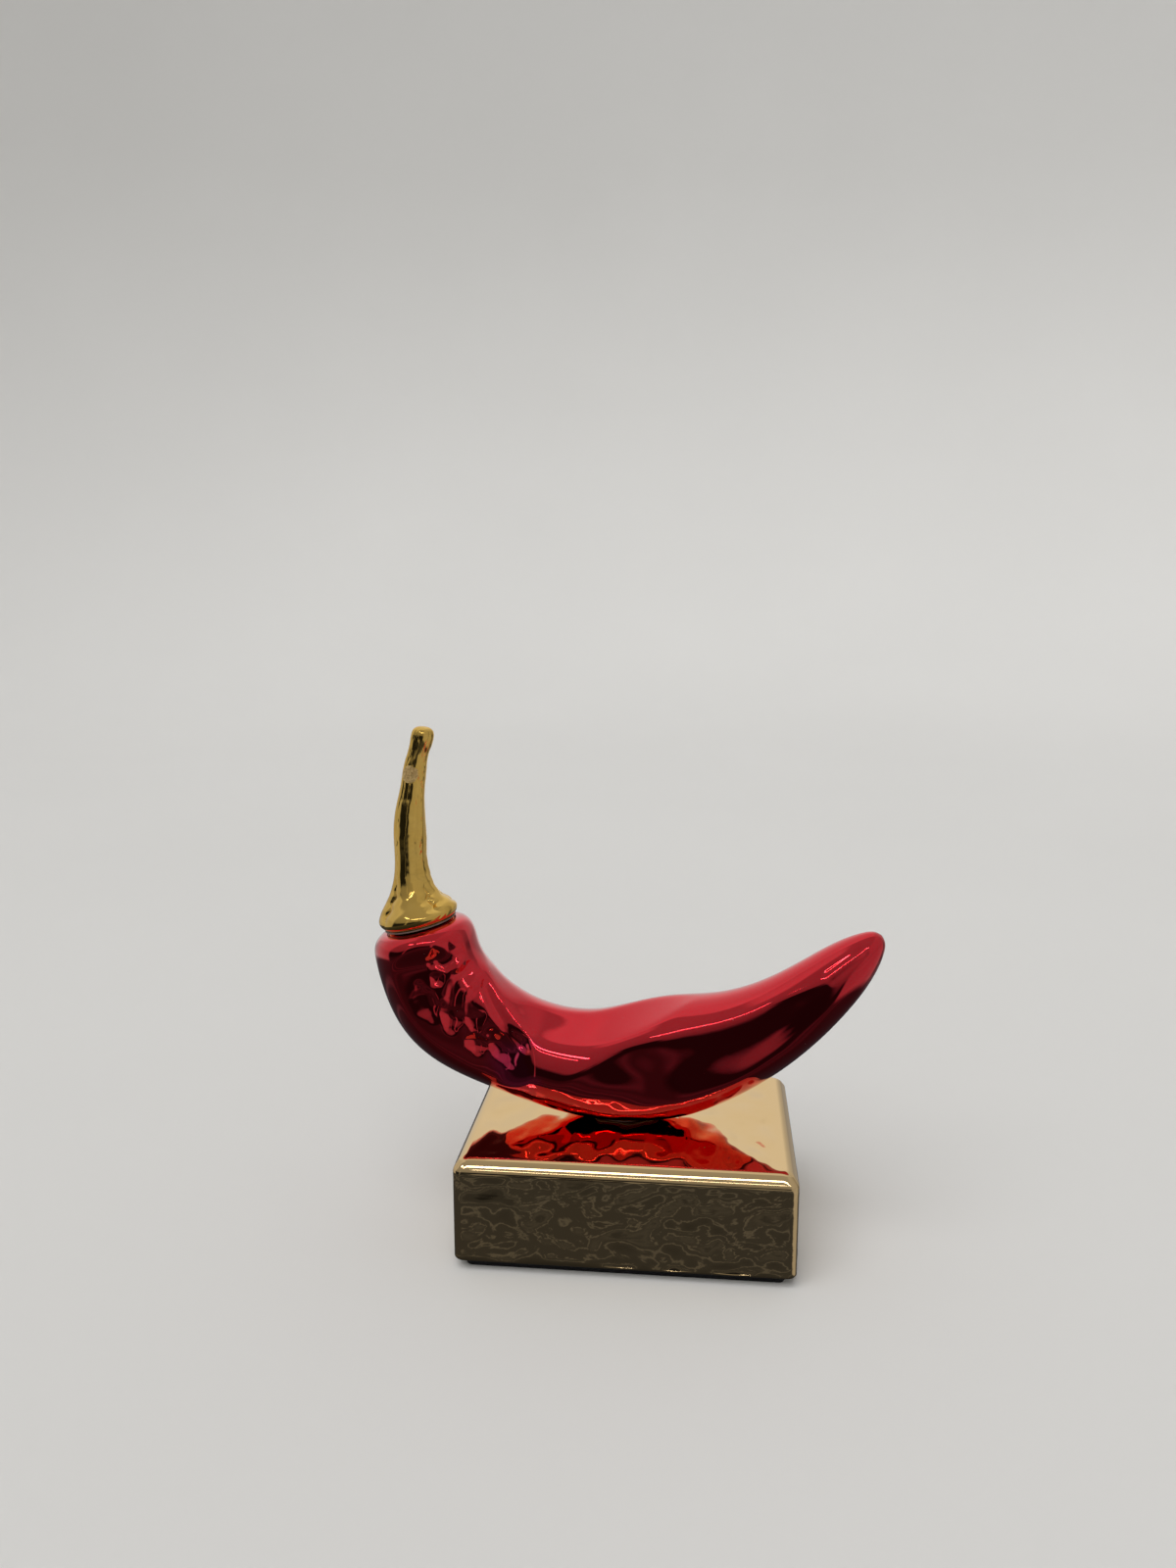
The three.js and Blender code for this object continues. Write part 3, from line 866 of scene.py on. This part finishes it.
def gold_block():
    """Mirror-like pale gold, uneven on its upright faces and nearly smooth on top."""
    shader = Shader("gold_block")
    shader.set(Metallic=1.0)
    shader.join(shader.mix(shader.noise(30, 4, 0.6), *PALE_GOLDS), "Base Color")
    lumps = shader.noise(105, 3.5, 0.5, 0.5)
    shader.join(shader.ranged(lumps, 0.35, 0.7, 0.02, 0.05), "Roughness")
    split = shader.nodes.new("ShaderNodeSeparateXYZ")
    normal = shader.nodes.new("ShaderNodeTexCoord").outputs["Normal"]
    shader.links.new(normal, split.inputs["Vector"])
    upright = shader.ranged(split.outputs["Z"], 0.15, 0.02, 0.04, 1.0)
    shader.bump(shader.times(lumps, upright), 1.0, 0.16)
    return shader.material


def black_foam():
    """Matte black foam with fine cells."""
    shader = Shader("black_foam")
    shader.set(Roughness=0.95, Specular_IOR_Level=0.2)
    cells = shader.noise(1400, 3, 0.7)
    shader.join(shader.mix(cells, *FOAM_BLACKS), "Base Color")
    shader.bump(cells, 0.8, 0.2)
    return shader.material


def glue_with_painted_shade():
    """Satin glue whose dark brown is painted shade for the gaps between the parts, in patches of random tone.
    """
    shader = Shader("glue_with_painted_shade")
    shader.set(Roughness=0.3, Subsurface_Weight=0.3, Subsurface_Scale=0.001)
    patchy = shader.noise(500, 3, 0.6)
    shader.join(shader.mix(patchy, *SHADED_GLUE_BROWNS), "Base Color")
    shader.bump(patchy, 0.4, 0.1)
    return shader.material


# Stage, in metres

FLOOR_RADIUS = 2.2
WALL_HEIGHT = 1.6
COVE = 1.0
COVE_STEPS = 12
ROOM_SIDES = 96

# Sky: brightness by direction, which is what the mirror-like faces reflect. An edge is the pair of leans
# along an axis between which one zone fades into the next
SMOOTH = "SMOOTHSTEP"
RIGHTWARD = (1, 0, 0)
LEFTWARD = (-1, 0, 0)
BACKWARD = (0, 1, 0)
UPWARD = (0, 0, 1)
PALE_LIGHT = 0.62
CLOUD_SCALE = 1.6
CLOUD_EDGE = (0.3, 0.7)
CLOUD_SHADES = (0.85, 1.08)
OVERHEAD_EDGE = (0.6, 1.0)
OVERHEAD = 1.05
SIDE_AXIS = (0.874, 0.482, 0.057)
BACK_EDGE = (0.5, 0.58)
BACK_SIDE_EDGE = (-0.25, -0.17)
CAP_AXIS = (0.0, 0.8, 0.6)
CAP_EDGE = (0.64, 0.68)
BACK_RISE = (0.2, 0.12, 0.973)
RIGHT_RISE = (0.45, 0.1, 0.887)
RISE_EDGE = (-0.22, -0.12)
RIGHT_FADE_EDGE = (0.1, 0.4)
RIGHT_FADE = 0.5
RIGHT_EDGE = (0.3, 0.5)
RIGHT_BACK_EDGE = (0.2, 0.4)
RIGHT_LIGHT = 0.45
RIGHT_BACK_LIGHT = 0.09
HORIZON_EDGE = (-0.05, 0.1)
BELOW_HORIZON = 1.2
ABOVE_HORIZON = 0.6
LEFT_EDGE = (0.3, 0.45)
LEFT_BACK_EDGE = (-0.27, -0.15)
LEFT_FOOT_EDGE = (-0.38, -0.3)
LEFT_LIGHT = 0.62
STREAK_AXIS = (0.891, -0.454, 0.0)
STREAK_EDGE = (0.07, 0.03)
STREAK_FRONT_EDGE = (-0.2, -0.3)
STREAK_TILT = (0, 0.1, 1)
STREAK_END_EDGE = (0.4, 0.3)
STREAK_LIGHT = 0.4
DIM_EDGE = (-0.54, -0.42)
DARK_TINT = (0.95, 1.0, 1.12)
PALE_TINT = (1.0, 0.985, 0.96)
TINT_EDGE = (0.05, 0.16)

# Levels of the dim zones: (height above the horizon, brightness). The floor has two faint stripes
STRIPES = (-0.56, -0.46)
STRIPE_HALF = 0.016
STRIPE_LIGHT = 0.095
BESIDE_STRIPE = 0.036
FLOOR_START = [(-1.0, 0.02), (-0.65, 0.03)]
FLOOR_END = [(-0.38, 0.05), (-0.33, 0.03)]
FRONT_RISE = [(-0.26, 0.07), (-0.2, 0.014), (-0.04, 0.014), (0.04, 0.16), (0.3, 0.23), (1.0, 0.32)]
LEFT_RISE = [(-0.24, 0.03), (-0.18, 0.012), (0.08, 0.012), (0.18, 0.2), (0.5, 0.24), (1.0, 0.3)]

# Lights: name, place in metres, length and width in metres, and watts. The key is a wide soft sun
TUBES = (
    ("tube_front", (0.12, -1.47, 1.4), (1.4, 0.06), 1.6),
    ("tube_left", (-0.96, -1.14, 1.42), (0.44, 0.06), 0.5),
    ("tube_low", (0.0, -1.55, 1.2), (0.8, 0.02), 0.25),
)
TUBE_TARGET = (0.0, 0.0, 0.08)
KEY_STRENGTH = 1.5
KEY_SPREAD = math.radians(55)
KEY_TURN = (math.radians(32), 0, math.radians(-25))


def make_room():
    """A pale floor that curves up into a pale round wall, left out of reflections."""
    profile = [(0.0, 0.0), (FLOOR_RADIUS - COVE, 0.0)]
    for turn in np.linspace(0, math.pi / 2, COVE_STEPS)[1:]:
        profile.append((FLOOR_RADIUS - COVE + COVE * math.sin(turn), COVE * (1 - math.cos(turn))))
    profile.append((FLOOR_RADIUS, WALL_HEIGHT))
    turns = np.linspace(0, 2 * math.pi, ROOM_SIDES, endpoint=False)
    points = [(r * math.cos(t), r * math.sin(t), z) for r, z in profile for t in turns]
    faces = []
    for row in range(len(profile) - 1):
        for i in range(ROOM_SIDES):
            j = (i + 1) % ROOM_SIDES
            a, b = row * ROOM_SIDES, (row + 1) * ROOM_SIDES
            faces.append((a + j, a + i, b + i, b + j) if row else (0, b + i, b + j))
    mesh = bpy.data.meshes.new("room")
    mesh.from_pydata(points, [], faces)
    mesh.validate()
    mesh.shade_smooth()
    room = bpy.data.objects.new("room", mesh)
    bpy.context.scene.collection.objects.link(room)
    shader = Shader("pale_room")
    shader.set(Roughness=0.9, Specular_IOR_Level=0.1)
    shader.join(shader.mix(shader.noise(3, 2), *ROOM_GREYS), "Base Color")
    mesh.materials.append(shader.material)
    room.visible_glossy = False


class Sky(NodeTree):
    """The world, with helpers that read a direction's lean along an axis."""

    def __init__(self):
        world = bpy.data.worlds.new("sky")
        world.use_nodes = True
        bpy.context.scene.world = world
        super().__init__(world.node_tree)
        self.background = self.nodes["Background"]
        self.direction = self.nodes.new("ShaderNodeTexCoord").outputs["Generated"]

    def lean(self, axis):
        """One for a direction along the axis, nought across it, minus one against it."""
        node = self.nodes.new("ShaderNodeVectorMath")
        node.operation = "DOT_PRODUCT"
        self.links.new(self.direction, node.inputs[0])
        node.inputs[1].default_value = axis
        return node.outputs["Value"]

    def zone(self, axis, edge, before=0, after=1):
        """A value that fades to another as the lean along an axis passes an edge."""
        return self.ranged(self.lean(axis), *edge, before, after, SMOOTH)

    def clouds(self):
        node = self.nodes.new("ShaderNodeTexNoise")
        node.inputs["Scale"].default_value = CLOUD_SCALE
        node.inputs["Detail"].default_value = 1.0
        self.links.new(self.direction, node.inputs["Vector"])
        return node.outputs["Fac"]

    def levels(self, stops):
        """Brightness by height above the horizon, from (height, brightness) stops."""
        ramp = self.nodes.new("ShaderNodeValToRGB")
        self.links.new(self.ranged(self.lean(UPWARD), -1, 1, 0, 1), ramp.inputs["Fac"])
        elements = ramp.color_ramp.elements
        for number, (height, level) in enumerate(stops):
            where = (height + 1) / 2
            stop = elements[number] if number < 2 else elements.new(where)
            stop.position = where
            stop.color = (level, level, level, 1)
        return ramp.outputs["Color"]


def sky_behind(sky):
    """The pale wall behind and the ceiling over it, dimmer towards the right."""
    wall = sky.times(sky.zone(BACKWARD, BACK_EDGE), sky.zone(SIDE_AXIS, BACK_SIDE_EDGE))
    above = sky.maths("MAXIMUM", wall, sky.zone(CAP_AXIS, CAP_EDGE))
    fade = sky.zone(RIGHTWARD, RIGHT_FADE_EDGE, 1, RIGHT_FADE)
    return sky.times(above, sky.zone(BACK_RISE, RISE_EDGE), fade)


def sky_right(sky):
    """The right side, of medium brightness and nearly dark towards the back."""
    return sky.times(
        sky.zone(RIGHTWARD, RIGHT_EDGE),
        sky.zone(RIGHT_RISE, RISE_EDGE),
        sky.zone(BACKWARD, RIGHT_BACK_EDGE, RIGHT_LIGHT, RIGHT_BACK_LIGHT),
        sky.zone(UPWARD, HORIZON_EDGE, BELOW_HORIZON, ABOVE_HORIZON),
    )


def sky_left(sky):
    """The left side, pale except in front and below."""
    return sky.times(
        sky.zone(LEFTWARD, LEFT_EDGE),
        sky.zone(BACKWARD, LEFT_BACK_EDGE),
        sky.zone(UPWARD, LEFT_FOOT_EDGE, 0, LEFT_LIGHT),
    )


def sky_streak(sky):
    """A dim upright streak in front, to the left of the middle."""
    across = sky.maths("ABSOLUTE", sky.lean(STREAK_AXIS))
    along = sky.maths("ABSOLUTE", sky.lean(STREAK_TILT))
    return sky.times(
        sky.ranged(across, *STREAK_EDGE, 0, STREAK_LIGHT, SMOOTH),
        sky.zone(BACKWARD, STREAK_FRONT_EDGE),
        sky.ranged(along, *STREAK_END_EDGE, 0, 1, SMOOTH),
    )


def floor_levels():
    """Levels of the dark floor, with a narrow brighter stripe at each of the stripes' heights."""
    stripes = []
    for middle in STRIPES:
        stripes.append((middle - STRIPE_HALF, BESIDE_STRIPE))
        stripes.append((middle, STRIPE_LIGHT))
        stripes.append((middle + STRIPE_HALF, BESIDE_STRIPE))
    return FLOOR_START + stripes + FLOOR_END


def make_sky():
    """Pale behind and to the left, medium to the right, dim in front above the horizon, dark below."""
    sky = Sky()
    shades = [PALE_LIGHT * shade for shade in CLOUD_SHADES]
    clouds = sky.ranged(sky.clouds(), *CLOUD_EDGE, *shades)
    pale = sky.times(clouds, sky.zone(UPWARD, OVERHEAD_EDGE, 1, OVERHEAD))
    lit = sky_behind(sky)
    for part in (sky_right(sky), sky_left(sky), sky_streak(sky)):
        lit = sky.maths("MAXIMUM", lit, part)
    floor = floor_levels()
    dim = sky.zone(SIDE_AXIS, DIM_EDGE, sky.levels(floor + LEFT_RISE), sky.levels(floor + FRONT_RISE))
    level = sky.ranged(lit, 0, 1, dim, pale)
    sky.feed(sky.background.inputs["Strength"], level)
    tint = sky.mix(sky.ranged(level, *TINT_EDGE, 0, 1, SMOOTH), DARK_TINT, PALE_TINT)
    sky.feed(sky.background.inputs["Color"], tint)


def make_tube(name, where, size, power):
    """A long lamp that the mirror-like faces show as a bright line."""
    data = bpy.data.lights.new(name, "AREA")
    data.shape = "RECTANGLE"
    data.size, data.size_y = size
    data.energy = power
    light = bpy.data.objects.new(name, data)
    light.location = where
    light.rotation_euler = (Vector(TUBE_TARGET) - Vector(where)).to_track_quat("-Z", "Y").to_euler()
    bpy.context.scene.collection.objects.link(light)


def make_lights():
    """A soft sun for the matte surfaces, and the tubes."""
    data = bpy.data.lights.new("soft_key", "SUN")
    data.angle = KEY_SPREAD
    data.energy = KEY_STRENGTH
    key = bpy.data.objects.new("soft_key", data)
    key.rotation_euler = KEY_TURN
    key.visible_glossy = False
    bpy.context.scene.collection.objects.link(key)
    for tube_light in TUBES:
        make_tube(*tube_light)


def make_camera():
    """The camera at the place and angle that the photograph was taken from."""
    data = bpy.data.cameras.new("camera")
    data.lens = CAMERA_LENS
    data.sensor_width = CAMERA_SENSOR
    data.clip_start = CAMERA_NEAR
    camera = bpy.data.objects.new("camera", data)
    camera.location = Vector(CAMERA_PLACE) * MM
    camera.rotation_euler = Vector(CAMERA_FORWARD).to_track_quat("-Z", "Y").to_euler()
    bpy.context.scene.collection.objects.link(camera)
    bpy.context.scene.camera = camera


make_camera()
make_room()
make_sky()
make_lights()
glue = glue_with_painted_shade()
place(make_fruit(), "chilli_body", red_coat())
place(make_stem(), "stem_and_calyx", gold_stem())
place(make_block(), "base_block", gold_block())
place(make_pad(), "base_pad", black_foam())
place(make_neck_bead(), "neck_adhesive", glue)
place(make_belly_bead(), "belly_adhesive", glue)
bpy.context.scene.view_settings.view_transform = "Standard"
